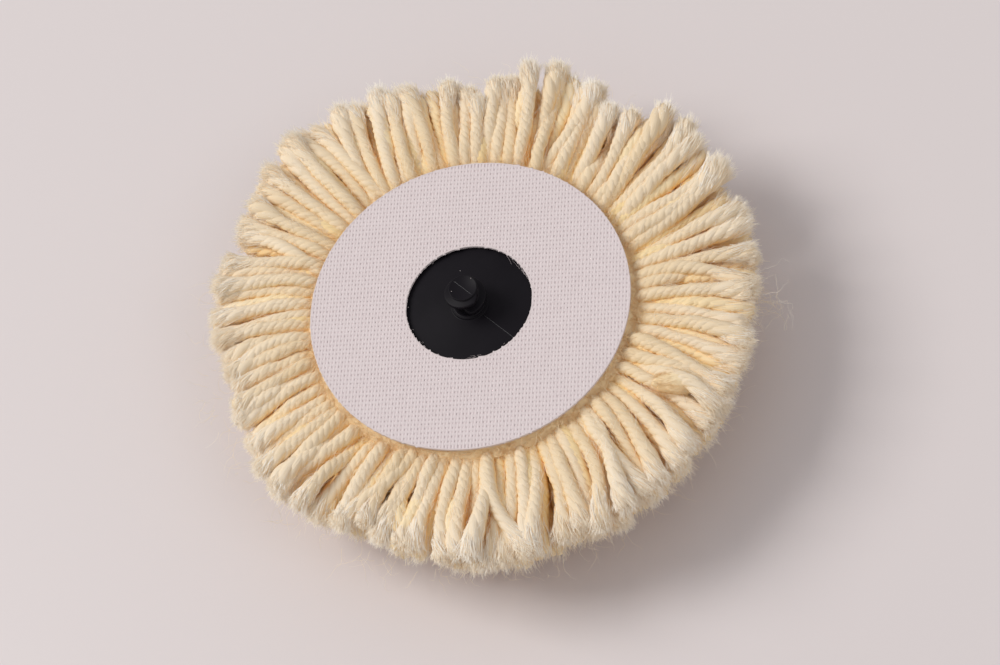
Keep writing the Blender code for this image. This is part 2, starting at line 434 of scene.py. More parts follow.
def repeat_mesh(mesh, count):
    """The mesh repeated by an Array modifier, as a new mesh."""
    holder = link(bpy.data.objects.new("repeat_holder", mesh))
    array = holder.modifiers.new("repeat", "ARRAY")
    array.count = count
    array.use_relative_offset = False
    array.use_constant_offset = True
    array.constant_offset_displace = (0.0, 0.0, 0.0)
    depsgraph = bpy.context.evaluated_depsgraph_get()
    repeated = bpy.data.meshes.new_from_object(holder.evaluated_get(depsgraph))
    bpy.data.objects.remove(holder)
    bpy.data.meshes.remove(mesh)
    return repeated


def set_attribute(mesh, name, values, kind="FLOAT"):
    """Store one value, or one vector, for each vertex."""
    layer = mesh.attributes.new(name, kind, "POINT")
    field = "vector" if kind == "FLOAT_VECTOR" else "value"
    layer.data.foreach_set(field, np.ascontiguousarray(values, dtype=np.float32).ravel())


def make_strands(name, lines, radii, sides, tones, material, along=None, stretch=0.12):
    """One object of closed tubes along lines (strands, points, 3) with radii (strands, points)."""
    count, points = lines.shape[:2]
    steps = points - 1
    mesh = repeat_mesh(tube_mesh(name, sides, steps), count)
    mesh.name = name
    flat = np.empty(len(mesh.vertices) * 3, dtype=np.float32)
    mesh.vertices.foreach_get("co", flat)
    model = flat.reshape(count, -1, 3)[0].astype(float)
    ring = np.rint(model[:, 2] * steps).astype(int)
    tangents, first, second = line_frames(lines)
    reach = radii[:, ring][..., None]
    place = lines[:, ring]
    place = place + first[:, ring] * model[None, :, 0:1] * reach
    place = place + second[:, ring] * model[None, :, 1:2] * reach
    mesh.vertices.foreach_set("co", place.astype(np.float32).ravel())
    run = np.cumsum(np.linalg.norm(np.diff(lines, axis=1, prepend=lines[:, :1]), axis=-1), axis=1)
    share = np.broadcast_to(model[:, 2], (count, len(model))) if along is None else along[:, ring]
    set_attribute(mesh, "along", share)
    set_attribute(mesh, "tone", np.repeat(tones[:, None], len(model), axis=1))
    grain = np.empty((count, len(model), 3))
    grain[..., 0:2] = model[None, :, 0:2] * reach / MM
    grain[..., 0] += 11.0 * np.arange(count)[:, None]
    grain[..., 2] = run[:, ring] / MM * stretch
    set_attribute(mesh, "grain", grain, "FLOAT_VECTOR")
    mesh.update()
    if sides > 3:
        mesh.shade_smooth()
    else:
        mesh.shade_flat()
    mesh.materials.clear()
    mesh.materials.append(material)
    piece = link(bpy.data.objects.new(name, mesh))
    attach(piece, ROOT)
    print(name, "strands:", count, " faces:", len(mesh.polygons))
    return piece

# %% [markdown]
# ## Where the yarns run
# The tufts stand in rings. The outer ring leaves the back of the pad, rises round its edge and runs out
# level. Each ring inwards starts steeper and ends lower, until the middle ones bend over on the table.
# A ring's path is given by a few (radius, height) points in millimetres, and a smooth curve goes
# through them. Every stitch leaves two legs of yarn, so a ring has twice as many yarns as tufts.
# Handling has combed the pile: it leans one way here and the other way there, and parts in between.

# %% Yarn paths
YARN_POINTS = 37
RANDOM = np.random.default_rng(20)
ROWS = {
    1: (96, ((35.0, 21.9), (38.6, 23.6), (43.5, 24.9), (50.5, 25.2), (58.0, 24.9), (66.0, 24.0))),
    2: (96, ((31.5, 22.3), (36.0, 21.8), (43.0, 23.3), (50.0, 23.5), (57.0, 22.8), (65.5, 20.9))),
    3: (84, ((27.5, 22.5), (31.0, 19.2), (37.0, 19.6), (45.0, 20.4), (53.0, 19.6), (64.0, 16.4))),
    4: (72, ((23.5, 22.5), (26.0, 17.0), (31.0, 15.6), (38.0, 15.8), (48.0, 14.9), (61.5, 12.2))),
    5: (62, ((19.5, 22.5), (21.5, 15.0), (26.0, 11.2), (33.0, 10.6), (44.0, 9.9), (58.5, 8.0))),
    6: (50, ((15.5, 22.5), (16.5, 14.5), (20.0, 8.6), (27.0, 6.0), (38.0, 5.3), (53.0, 3.8))),
    7: (32, ((11.5, 22.5), (12.0, 15.0), (14.0, 8.0), (19.0, 4.0), (28.0, 2.8), (40.0, 2.6))),
    8: (18, ((7.5, 22.5), (7.8, 15.0), (9.5, 7.5), (13.5, 3.4), (19.5, 2.6), (26.0, 2.6))),
    9: (9, ((3.5, 22.5), (3.7, 15.0), (5.0, 7.5), (8.5, 3.4), (14.0, 2.6), (20.0, 2.6))),
    10: (2, ((0.6, 22.5), (0.8, 15.0), (1.5, 7.5), (4.5, 3.4), (9.5, 2.6), (15.0, 2.6))),
}
LEG_LIFT = 0.85
LEAN_SHARE = {1: 1.0, 2: 1.0, 3: 0.8, 4: 0.4}
TIP_LEAN = (
    (-175, 5), (-152, -1), (-125, -2), (-98, -6), (-60, -8), (-51, -11), (-42, -3), (-34, -7), (-22, -5),
    (-10, 5), (10, 8), (40, 5), (66, 0), (80, 2), (95, -6), (118, -4), (130, 2), (155, 6),
)
TIP_REACH = (
    (-180, 0.88), (-169, 0.87), (-161, 0.92), (-153, 0.93), (-141, 0.89), (-131, 0.83), (-120, 0.90),
    (-108, 0.95), (-97, 0.98), (-84, 0.95), (-75, 0.97), (-64, 1.01), (-50, 0.99), (-35, 0.99), (-18, 1.02),
    (3, 1.06), (18, 1.05), (27, 0.87), (42, 1.0), (49, 1.07), (57, 0.96), (65, 0.94), (70, 0.80),
    (75, 0.95), (85, 0.97), (101, 1.04), (118, 1.06), (132, 0.95), (146, 0.96), (155, 0.94), (163, 0.86),
    (170, 0.83), (176, 0.88),
)
TIP_RISE = (
    (-180, 0.0), (-120, -0.6), (-60, 0.0), (-20, 0.8), (20, 1.2), (60, 2.0), (100, 2.2), (140, 1.2),
)


def smooth_curve(points, count):
    """A Catmull-Rom curve through the points, read at even steps of its length."""
    knots = np.array(points, dtype=float)
    padded = np.vstack((2 * knots[0] - knots[1], knots, 2 * knots[-1] - knots[-2]))
    pieces = []
    for a, b, c, d in zip(padded, padded[1:], padded[2:], padded[3:]):
        t = np.linspace(0.0, 1.0, 24, endpoint=False)[:, None]
        pieces.append(0.5 * (2 * b + (c - a) * t + (2 * a - 5 * b + 4 * c - d) * t**2
                             + (3 * b - a - 3 * c + d) * t**3))
    dense = np.vstack(pieces + [knots[-1:]])
    run = np.concatenate(([0.0], np.cumsum(np.linalg.norm(np.diff(dense, axis=0), axis=1))))
    even = np.linspace(0.0, run[-1], count)
    return np.stack([np.interp(even, run, dense[:, k]) for k in range(dense.shape[1])], axis=1)


def around(table, angles):
    """Read a table of (degrees, value) at angles in radians, going round without a seam."""
    places, values = np.array(table, dtype=float).T
    return np.interp(np.degrees(angles), places, values, period=360.0)


def yarn_lines(row):
    """The centre lines of one row's yarns, (yarns, points, 3) in metres."""
    count, path = ROWS[row]
    profile = smooth_curve(path, YARN_POINTS) * MM
    share = np.linspace(0.0, 1.0, YARN_POINTS)
    step = math.tau / count
    start = step * (np.arange(count) + 0.5 * (row % 2)) + RANDOM.normal(0.0, 0.07 * step, count)
    lean = np.radians(around(TIP_LEAN, start)) * LEAN_SHARE.get(row, 0.0)
    lean = lean + 0.026 * np.sin(13.0 * start + 1.0) + 0.018 * np.sin(23.0 * start + 2.0)
    lean = lean + RANDOM.normal(0.0, 0.026, count)
    reach = around(TIP_REACH, start) + RANDOM.normal(0.0, 0.014, count)
    leg = np.where(np.arange(count) % 2 == 0, LEG_LIFT, -LEG_LIFT) if row < 4 else np.zeros(count)
    rise = around(TIP_RISE, start) * (1.0 if row < 4 else 0.3)
    lift = (leg + rise + RANDOM.normal(0.0, 0.75, count)) * MM
    sway = RANDOM.normal(0.0, 0.8, (count, 2)) * MM
    phase = RANDOM.uniform(0.0, math.tau, count)
    radius = profile[:, 0] + (reach[:, None] - 1.0) * (profile[-1, 0] - 20.0 * MM) * share**1.4
    height = profile[:, 1] + lift[:, None] * share**0.8 + sway[:, :1] * np.sin(math.tau * share)
    height = np.maximum(height, 2.2 * MM)
    angle = start[:, None] + lean[:, None] * share**1.25
    side = sway[:, 1:] * np.sin(math.pi * 1.5 * share + phase[:, None]) * share
    x = radius * np.cos(angle) - side * np.sin(angle)
    y = radius * np.sin(angle) + side * np.cos(angle)
    return np.stack((x, y, height), axis=-1)


LINES = {row: yarn_lines(row) for row in ROWS}
for row, lines in LINES.items():
    lengths = np.linalg.norm(np.diff(lines, axis=1), axis=-1).sum(axis=1)
    print("row", row, "yarns:", len(lines), " mean length in mm:", round(float(lengths.mean()) / MM, 1))

# %% [markdown]
# ## Plying the yarn
# A yarn is four plies twisted together, with the slope of the middle of an S. Each ply is a strand on
# a helix round the yarn's line. Near the cut end the twist runs out and the plies part, swell into
# soft locks and round off. Only the upper rows are seen close, so they have most faces.

# %% Plied yarn
PLIES = 4
PLY_RADIUS = 1.18 * MM
PLY_OFFSET = 0.57 * MM
TWIST_PITCH = 7.4 * MM
PLY_END = 0.885
PLY_FLARE = 0.22


def ply_lines(lines):
    """The plies' own lines and radii, (yarns times plies, points, ...)."""
    count, points = lines.shape[:2]
    tangents, first, second = line_frames(lines)
    share = np.linspace(0.0, 1.0, points)
    length = np.linalg.norm(np.diff(lines, axis=1), axis=-1).sum(axis=1)
    slack = np.where(share < 0.72, share, 0.72 + 0.45 * (share - 0.72))
    turn = -math.tau * length[:, None] / TWIST_PITCH * slack + RANDOM.uniform(0.0, math.tau, (count, 1))
    wave = RANDOM.uniform(0.0, math.tau, (count, 2))
    swell = 1.0 + 0.08 * np.sin(6.0 * share + wave[:, :1]) + 0.05 * np.sin(17.0 * share + wave[:, 1:])
    spread = 1.0 + 1.15 * np.clip((share - 0.70) / 0.26, 0.0, 1.0) ** 1.3
    flare = 1.0 + PLY_FLARE * np.clip((share - 0.70) / 0.24, 0.0, 1.0)
    thin = flare * np.sqrt(1.0 - 0.94 * np.clip((share - PLY_END) / (1.0 - PLY_END), 0.0, 1.0) ** 2)
    made = []
    radii = []
    for ply in range(PLIES):
        angle = turn + math.tau * ply / PLIES
        reach = PLY_OFFSET * swell * spread
        aside = first * (reach * np.cos(angle))[..., None] + second * (reach * np.sin(angle))[..., None]
        made.append(lines + aside)
        radii.append(PLY_RADIUS * swell * thin * (1.0 + 0.05 * RANDOM.normal(0.0, 1.0, (count, 1))))
    plied, radii = np.concatenate(made), np.concatenate(radii)
    plied[..., 2] = np.maximum(plied[..., 2], radii + 0.1 * MM)
    return plied, radii


PLIED = {}


def make_yarns(name, lines, sides, material):
    """The plied yarns along these lines, as one piece."""
    plied, radii = ply_lines(lines)
    PLIED[name] = plied
    tones = np.tile(RANDOM.uniform(0.0, 1.0, len(lines)), PLIES)
    piece = make_strands(name, plied, radii, sides, tones, material)
    return piece


upper_legs = make_yarns("yarns_outer_upper_legs", LINES[1][0::2], 8, WOOL)
lower_legs = make_yarns("yarns_outer_lower_legs", LINES[1][1::2], 8, WOOL)
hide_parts(*TUFTS)

# %% The lower rows
for row in range(2, 11):
    sides, every = {2: (6, 1), 3: (6, 2), 4: (6, 2)}.get(row, (5, 3))
    make_yarns(f"yarns_row_{row}", LINES[row][:, ::every], sides, WOOL_UNDER)
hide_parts("pile_row_2")
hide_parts("pile_row_3")
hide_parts("pile_row_4")
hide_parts("pile_core")

# %% [markdown]
# ## Brushed ends
# The cut end of each yarn is combed out into a soft blunt brush. Its fibres start inside the yarn,
# spread as they run, and stop at nearly the same place, because scissors cut them together.

# %% Brushed ends
FIBRE_RADIUS = 0.075 * MM
FIBRE_POINTS = 3


def along_lines(lines, yarn, share):
    """Places at these shares of the yarns' lines, going straight on past the end."""
    points = lines.shape[1]
    place = share * (points - 1)
    low = np.clip(place.astype(int), 0, points - 2)
    part = (place - low)[..., None]
    which = yarn[:, None] if share.ndim == 2 else yarn
    return lines[which, low] * (1 - part) + lines[which, low + 1] * part


def brush_lines(lines, each):
    """Fibres that make the brushed end of each yarn, and their share of its length."""
    count = lines.shape[0]
    tangents, first, second = line_frames(lines)
    yarn = np.repeat(np.arange(count), each)
    total = len(yarn)
    t = np.linspace(0.0, 1.0, FIBRE_POINTS)
    start = RANDOM.uniform(0.70, 0.97, total)
    stop = 1.012 + RANDOM.normal(0.0, 0.008, count)[yarn] + RANDOM.normal(0.0, 0.013, total)
    share = start[:, None] + (stop - start)[:, None] * t
    centre = along_lines(lines, yarn, share)
    angle = RANDOM.uniform(0.0, math.tau, total)
    curl = RANDOM.normal(0.0, 0.35, total)
    body = PLY_RADIUS * (1.0 + PLY_FLARE * np.clip((share - 0.70) / 0.24, 0.0, 1.0))
    spread = RANDOM.uniform(0.98, 1.12, total)[:, None] + RANDOM.uniform(-0.4, 0.8, total)[:, None] * t**3
    reach = body * spread + RANDOM.normal(0.0, 0.05, (total, FIBRE_POINTS)) * MM
    turn = angle[:, None] + curl[:, None] * t
    side_a = first[yarn, -6][:, None]
    side_b = second[yarn, -6][:, None]
    line = centre + side_a * (reach * np.cos(turn))[..., None] + side_b * (reach * np.sin(turn))[..., None]
    line[..., 2] = np.maximum(line[..., 2], 0.15 * MM)
    return line, yarn, share


def make_fibres(name, line, yarn, material, radius=FIBRE_RADIUS, along=None):
    """Fibres as one piece, each thinning to its end."""
    t = np.linspace(0.0, 1.0, line.shape[1])
    radii = np.broadcast_to(radius * (1.0 - 0.6 * t**2), line.shape[:2])
    tones = (yarn * 0.618) % 1.0
    piece = make_strands(name, line, radii, 3, tones, material, along)
    return piece


BRUSHES = {
    "yarns_outer_upper_legs": 74, "yarns_outer_lower_legs": 70, "yarns_row_2": 32, "yarns_row_3": 16,
    "yarns_row_4": 12, "yarns_row_5": 10,
}
for name, each in BRUSHES.items():
    line, ply, share = brush_lines(PLIED[name], each)
    make_fibres(name.replace("yarns", "brushed_ends"), line, ply, WOOL_ENDS, along=share)

# %% [markdown]
# ## The halo of loose fibres
# Every woollen yarn is hairy. Short fibres lift off the plies and lie across the grooves, which is what
# makes wool look soft. They start at the yarn's surface and bend away from it or back to it.

# %% Halo
HALO_RADIUS = 0.036 * MM
HALO_POINTS = 3
YARN_RADIUS = PLY_OFFSET + PLY_RADIUS


def halo_lines(lines, each, length, lift):
    """Short fibres over the surface of the yarns."""
    count, points = lines.shape[:2]
    tangents, first, second = line_frames(lines)
    yarn = np.repeat(np.arange(count), each)
    total = len(yarn)
    t = np.linspace(0.0, 1.0, HALO_POINTS)
    start = RANDOM.uniform(0.03, 0.86, total)
    low = (start * (points - 1)).astype(int)
    yarn_length = np.linalg.norm(np.diff(lines, axis=1), axis=-1).sum(axis=1)[yarn]
    reach = RANDOM.uniform(length[0], length[1], total) * RANDOM.choice((-1.0, 1.0), total)
    share = np.clip(start[:, None] + (reach / yarn_length)[:, None] * t, 0.0, 1.05)
    centre = along_lines(lines, yarn, share)
    angle = RANDOM.uniform(0.0, math.tau, total)[:, None] + RANDOM.normal(0.0, 0.9, total)[:, None] * t
    rise = RANDOM.uniform(0.0, 1.0, total) ** 2.5 * lift
    bow = np.sin(math.pi * t * RANDOM.uniform(0.45, 1.0, total)[:, None])
    away = YARN_RADIUS * 0.97 + rise[:, None] * bow
    side_a = first[yarn, low][:, None]
    side_b = second[yarn, low][:, None]
    line = centre + side_a * (away * np.cos(angle))[..., None] + side_b * (away * np.sin(angle))[..., None]
    line[..., 2] = np.maximum(line[..., 2], 0.1 * MM)
    return line, yarn, share


HALOS = (("upper_legs", LINES[1][0::2], 140), ("lower_legs", LINES[1][1::2], 90), ("row_2", LINES[2], 16))
for label, lines, each in HALOS:
    line, yarn, share = halo_lines(lines, each, (1.5 * MM, 4.5 * MM), 1.3 * MM)
    make_fibres(f"halo_{label}", line, yarn, WOOL_ENDS, HALO_RADIUS, along=share)

# %% [markdown]
# ## Felted roots
# Between the cloth and the yarns, the wool is matted by the latex and by the way the pad was sewn.
# A bumpy band fills the step, turned from a short profile and roughened with noise, and tangled
# fibres lie over it.

# %% Felted roots
from mathutils import noise

BAND_STEPS = 360
BAND_PROFILE = (
    (35.3, 27.4), (36.9, 27.35), (37.6, 26.9), (38.0, 26.3), (38.6, 25.6), (39.4, 25.0), (39.6, 24.2), (36.6, 23.6),
)


def roughen(shape, size, depth):
    """Move each vertex along its normal by noise of this size and depth."""
    shape.normal_update()
    moves = [(vert, vert.normal.copy()) for vert in shape.verts]
    for vert, normal in moves:
        vert.co += normal * noise.noise(vert.co / size) * depth


def finish_mesh(shape, name, material, smooth=True):
    """Turn a bmesh into a piece that rides on the pad."""
    bmesh.ops.remove_doubles(shape, verts=shape.verts, dist=0.002 * MM)
    bmesh.ops.recalc_face_normals(shape, faces=shape.faces)
    mesh = bpy.data.meshes.new(name)
    shape.to_mesh(mesh)
    shape.free()
    if smooth:
        mesh.shade_smooth()
        mesh.set_sharp_from_angle(angle=math.radians(40.0))
    mesh.materials.append(material)
    piece = link(bpy.data.objects.new(name, mesh))
    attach(piece, ROOT)
    print(name, "faces:", len(mesh.polygons))
    return piece


def turn_profile(shape, outline, steps, closed):
    """Spin (radius, height) points, in metres, about the axis."""
    corners = [shape.verts.new((radius, 0.0, height)) for radius, height in outline]
    pairs = list(zip(corners, corners[1:] + corners[:1])) if closed else list(zip(corners, corners[1:]))
    edges = [shape.edges.new(pair) for pair in pairs]
    bmesh.ops.spin(shape, geom=corners + edges, cent=(0.0, 0.0, 0.0), axis=(0.0, 0.0, 1.0),
                   dvec=(0.0, 0.0, 0.0), angle=math.tau, steps=steps, use_merge=True, use_duplicate=False)


def make_felt_band():
    """The matted step between the cloth and the yarns."""
    shape = bmesh.new()
    turn_profile(shape, [(radius * MM, height * MM) for radius, height in BAND_PROFILE], BAND_STEPS, True)
    roughen(shape, 1.6 * MM, 0.5 * MM)
    roughen(shape, 0.6 * MM, 0.25 * MM)
    return finish_mesh(shape, "felted_roots", WOOL_FELT)


def wander(starts, headings, length, points, turnback):
    """Curly lines: each step turns a little at random from the last."""
    total = len(starts)
    line = np.empty((total, points, 3))
    line[:, 0] = starts
    heading = unit(headings)
    for step in range(1, points):
        heading = unit(heading + RANDOM.normal(0.0, turnback, (total, 3)))
        line[:, step] = line[:, step - 1] + heading * (length / (points - 1))[:, None]
    return line


def tangle_lines(total):
    """Fibres that lie in all directions along the cloth's edge."""
    angle = RANDOM.uniform(0.0, math.tau, total)
    radius = RANDOM.uniform(36.8, 39.4, total) * MM
    height = 27.3 * MM - (radius - 36.8 * MM) * 0.8 + RANDOM.normal(0.0, 0.3, total) * MM
    starts = np.stack((radius * np.cos(angle), radius * np.sin(angle), height), axis=-1)
    outward = np.stack((np.cos(angle), np.sin(angle), np.zeros(total)), axis=-1)
    round_about = np.stack((-np.sin(angle), np.cos(angle), np.zeros(total)), axis=-1)
    way = RANDOM.normal(0.0, 1.0, (total, 1))
    heading = round_about * way + outward * RANDOM.uniform(0.1, 1.0, (total, 1))
    heading[:, 2] = RANDOM.normal(-0.12, 0.22, total)
    line = wander(starts, heading, RANDOM.uniform(2.0, 6.5, total) * MM, 6, 0.4)
    low_bound = 23.6 * MM
    line[..., 2] = np.clip(line[..., 2], low_bound, 27.6 * MM)
    return line


make_felt_band()
line = tangle_lines(2400)
make_fibres("felted_root_fibres", line, np.arange(len(line)), WOOL_FELT, 0.05 * MM)

# %% [markdown]
# ## The threaded plate
# One black moulding: a flat plate with a stub of coarse thread. The body is turned from its profile.
# The thread is a section swept round and up by the same spin operator, given a lift at each step, then
# drawn in at both ends where the mould lets it run out. A union makes one body of them. A hair line
# across the stud's end and over the plate shows where the two halves of the mould met.

# %% Black nylon
def make_nylon():
    """Black moulded nylon: satin, with a fine spark-eroded grain and faint clouding."""
    material, tree, shader = start_material("black_nylon_moulded", 0.44)
    shader.inputs["Specular IOR Level"].default_value = 0.11
    place = tree.nodes.new("ShaderNodeTexCoord").outputs["Object"]
    cloud = tree.nodes.new("ShaderNodeTexNoise")
    cloud.inputs["Scale"].default_value = 160.0
    cloud.inputs["Detail"].default_value = 4.0
    tree.links.new(place, cloud.inputs["Vector"])
    colour = add_mix(tree, cloud.outputs["Fac"], (0.0055, 0.0045, 0.0065), (0.0100, 0.0085, 0.0115))
    tree.links.new(colour, shader.inputs["Base Color"])
    spread = tree.nodes.new("ShaderNodeMapRange")
    spread.inputs["To Min"].default_value = 0.38
    spread.inputs["To Max"].default_value = 0.56
    tree.links.new(cloud.outputs["Fac"], spread.inputs["Value"])
    tree.links.new(spread.outputs["Result"], shader.inputs["Roughness"])
    grain = tree.nodes.new("ShaderNodeTexNoise")
    grain.inputs["Scale"].default_value = 5200.0
    grain.inputs["Detail"].default_value = 2.0
    tree.links.new(place, grain.inputs["Vector"])
    add_bump(tree, shader, grain.outputs["Fac"], 0.25, 0.03 * MM)
    return material


NYLON = make_nylon()

# %% Plate and stud
TURN_STEPS = 128
PLATE_THICKNESS = 1.4 * MM
BOSS_RADIUS = 4.2 * MM
BOSS_HEIGHT = 0.5 * MM
CORE_RADIUS = 3.5 * MM
END_RADIUS = 3.35 * MM
THREAD_RADIUS = 4.75 * MM
THREAD_PITCH = 3.5 * MM
THREAD_TURNS = 1.25
THREAD_START = math.radians(-121.0)
THREAD_RISE = 2.95 * MM
PARTING_ANGLE = math.radians(-63.0)


def arc(centre, radius, start, stop, steps):
    """Points of an arc in the (radius, height) plane, angles in degrees."""
    angles = [math.radians(start + (stop - start) * step / steps) for step in range(steps + 1)]
    return [(centre[0] + radius * math.cos(a), centre[1] + radius * math.sin(a)) for a in angles]


def stud_profile():
    """The plate and the plain core of the stud, with rounded edges."""
    low = PLATE_TOP - PLATE_THICKNESS
    edge = 0.3 * MM
    boss_top = PLATE_TOP + BOSS_HEIGHT
    outline = [(0.0, low)]
    outline += arc((PLATE_RADIUS - edge, low + edge), edge, -90, 0, 4)
    outline += arc((PLATE_RADIUS - edge, PLATE_TOP - edge), edge, 0, 90, 4)
    outline += arc((BOSS_RADIUS + edge, PLATE_TOP + edge), edge, -90, -180, 4)
    outline += arc((BOSS_RADIUS - 0.15 * MM, boss_top - 0.15 * MM), 0.15 * MM, 0, 90, 3)
    outline += arc((CORE_RADIUS + 0.4 * MM, boss_top + 0.4 * MM), 0.4 * MM, -90, -180, 4)
    outline += arc((END_RADIUS - 0.1 * MM, STUD_TOP - 0.1 * MM), 0.1 * MM, 0, 90, 3)
    outline += [(END_RADIUS - 0.2 * MM, STUD_TOP), (END_RADIUS - 0.35 * MM, STUD_TOP - 0.1 * MM)]
    outline += [(0.0, STUD_TOP - 0.1 * MM)]
    return outline


def make_thread_ridge():
    """The thread's ridge with run-outs, as a bmesh."""
    inside = CORE_RADIUS - 0.5 * MM
    half_crest = 0.55 * MM
    half_root = 0.85 * MM
    section = [(inside, -half_root)]
    section += arc((THREAD_RADIUS - 0.3 * MM, -half_crest + 0.3 * MM), 0.3 * MM, -90, 0, 3)
    section += arc((THREAD_RADIUS - 0.3 * MM, half_crest - 0.3 * MM), 0.3 * MM, 0, 90, 3)
    section += [(inside, half_root)]
    middle = PLATE_TOP + THREAD_RISE
    steps = round(96 * THREAD_TURNS)
    shape = bmesh.new()
    corners = [shape.verts.new((radius, 0.0, middle + height)) for radius, height in section]
    edges = [shape.edges.new(pair) for pair in zip(corners, corners[1:] + corners[:1])]
    bmesh.ops.rotate(shape, verts=corners, cent=(0.0, 0.0, 0.0), matrix=Matrix.Rotation(THREAD_START, 3, "Z"))
    bmesh.ops.spin(shape, geom=corners + edges, cent=(0.0, 0.0, 0.0), axis=(0.0, 0.0, 1.0),
                   dvec=(0.0, 0.0, THREAD_PITCH * THREAD_TURNS / steps), angle=math.tau * THREAD_TURNS,
                   steps=steps, use_merge=False, use_duplicate=False)
    shape.verts.index_update()
    for vert in shape.verts:
        step = vert.index // len(section)
        run_in = min(1.0, 0.15 + step / 8.0)
        run_out = min(1.0, (steps - step) / 12.0)
        radius = math.hypot(vert.co.x, vert.co.y)
        drawn = inside + (radius - inside) * min(run_in, run_out)
        vert.co.x *= drawn / radius
        vert.co.y *= drawn / radius
        vert.co.z = min(vert.co.z, STUD_TOP - 0.2 * MM)
    bmesh.ops.holes_fill(shape, edges=[edge for edge in shape.edges if edge.is_boundary])
    bmesh.ops.recalc_face_normals(shape, faces=shape.faces)
    return shape


def unite(base, shapes):
    """Union of a piece with other bmeshes, applied to its mesh."""
    for number, shape in enumerate(shapes):
        mesh = bpy.data.meshes.new("union_part")
        shape.to_mesh(mesh)
        shape.free()
        part = link(bpy.data.objects.new("union_part", mesh))
        join = base.modifiers.new(f"union_{number}", "BOOLEAN")
        join.operation = "UNION"
        join.solver = "EXACT"
        join.object = part
        depsgraph = bpy.context.evaluated_depsgraph_get()
        whole = bpy.data.meshes.new_from_object(base.evaluated_get(depsgraph))
        base.modifiers.clear()
        base.data = whole
        bpy.data.objects.remove(part)
    base.data.shade_smooth()
    base.data.set_sharp_from_angle(angle=math.radians(35.0))


def make_plate():
    """The plate, the stud and the thread."""
    shape = bmesh.new()
    turn_profile(shape, stud_profile(), TURN_STEPS, False)
    plate = finish_mesh(shape, "moulded_plate_and_stud", NYLON)
    unite(plate, [make_thread_ridge()])
    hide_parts("threaded_plate")
    print("plate faces after the unions:", len(plate.data.polygons))
    return plate


def parting_line(start, stop, height):
    """A hair of flash along the mould's joint, from one distance to another."""
    distance = np.linspace(start, stop, 12)
    line = np.stack((distance * math.cos(PARTING_ANGLE), distance * math.sin(PARTING_ANGLE),
                     np.full(12, height)), axis=-1)
    return line


make_plate()
FLASH, tree, shader = start_material("nylon_flash", 0.35)
shader.inputs["Base Color"].default_value = (0.045, 0.043, 0.047, 1.0)
flash_lines = np.stack((
    parting_line(-END_RADIUS + 0.4 * MM, END_RADIUS - 0.4 * MM, STUD_TOP - 0.12 * MM),
    parting_line(BOSS_RADIUS + 0.4 * MM, CLOTH_HOLE - 0.2 * MM, PLATE_TOP),
))
flash = make_strands("mould_parting_line", flash_lines, np.full((2, 12), 0.06 * MM), 5, np.zeros(2), FLASH)

# %% [markdown]
# ## The backing cloth
# A disc of plain-woven cotton, stiffened and glued flat, with a round hole for the stud. The sheet
# itself is a thin ring. On it lie the threads that make the weave, warp and weft, each going over and
# under the others. They are curves with a round bevel, flattened afterwards, because a stiffened
# thread is wider than it is thick.

# %% Cloth materials
def make_cloth(name, colour, dark, angle):
    """Cotton thread: nearly white, with streaks along the threads' direction."""
    material, tree, shader = start_material(name, 0.8)
    place = tree.nodes.new("ShaderNodeTexCoord").outputs["Object"]
    turned = tree.nodes.new("ShaderNodeMapping")
    turned.vector_type = "TEXTURE"
    turned.inputs["Rotation"].default_value = (0.0, 0.0, angle)
    turned.inputs["Scale"].default_value = (4.0 * MM, 0.6 * MM, 0.6 * MM)
    tree.links.new(place, turned.inputs["Vector"])
    grain = add_group(tree, GRAIN, Vector=turned.outputs["Vector"], Scale=1.0)
    patch = tree.nodes.new("ShaderNodeTexNoise")
    patch.inputs["Scale"].default_value = 260.0
    tree.links.new(place, patch.inputs["Vector"])
    mixed = add_mix(tree, grain.outputs["Mask"], dark, colour)
    mixed = add_mix(tree, patch.outputs["Fac"], mixed, colour)
    tree.links.new(mixed, shader.inputs["Base Color"])
    shader.inputs["Specular IOR Level"].default_value = 0.3
    add_bump(tree, shader, grain.outputs["Height"], 0.4, 0.04 * MM)
    return material


WARP_ANGLE = math.radians(67.8)
WEFT_ANGLE = WARP_ANGLE - math.pi / 2.0
WARP_COTTON = make_cloth("cotton_warp", (0.745, 0.665, 0.665), (0.67, 0.585, 0.585), WARP_ANGLE)
WEFT_COTTON = make_cloth("cotton_weft", (0.745, 0.665, 0.665), (0.67, 0.585, 0.585), WEFT_ANGLE)
# The ground sheet is darker and pinker than the threads: painted shade for the gaps between them.
CLOTH_GROUND = make_cloth("cotton_ground_painted_gap_shade", (0.71, 0.61, 0.615), (0.65, 0.55, 0.555), WEFT_ANGLE)
CUT_EDGE = make_cloth("cotton_cut_edge", (0.72, 0.64, 0.635), (0.62, 0.54, 0.53), WEFT_ANGLE)

# %% The sheet and its threads
WARP_SPACING = 0.80 * MM
WEFT_SPACING = 1.14 * MM
THREAD_FLATNESS = 0.34
WEAVE_HEIGHT = 0.045 * MM
EDGE_WIDTH = 0.35 * MM
SHEET_TOP = CLOTH_TOP - 0.17 * MM
SHEET_BOTTOM = cloth_low.z


def make_sheet():
    """The cloth's own body: a flat ring under the threads."""
    shape = bmesh.new()
    edge = CLOTH_RADIUS - 0.1 * MM
    hole = CLOTH_HOLE + 0.1 * MM
    ring = [(hole, SHEET_BOTTOM), (edge, SHEET_BOTTOM), (edge, SHEET_TOP), (hole, SHEET_TOP)]
    turn_profile(shape, ring, 180, True)
    sheet = finish_mesh(shape, "woven_backing_cloth", CLOTH_GROUND)
    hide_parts("backing_cloth")
    return sheet


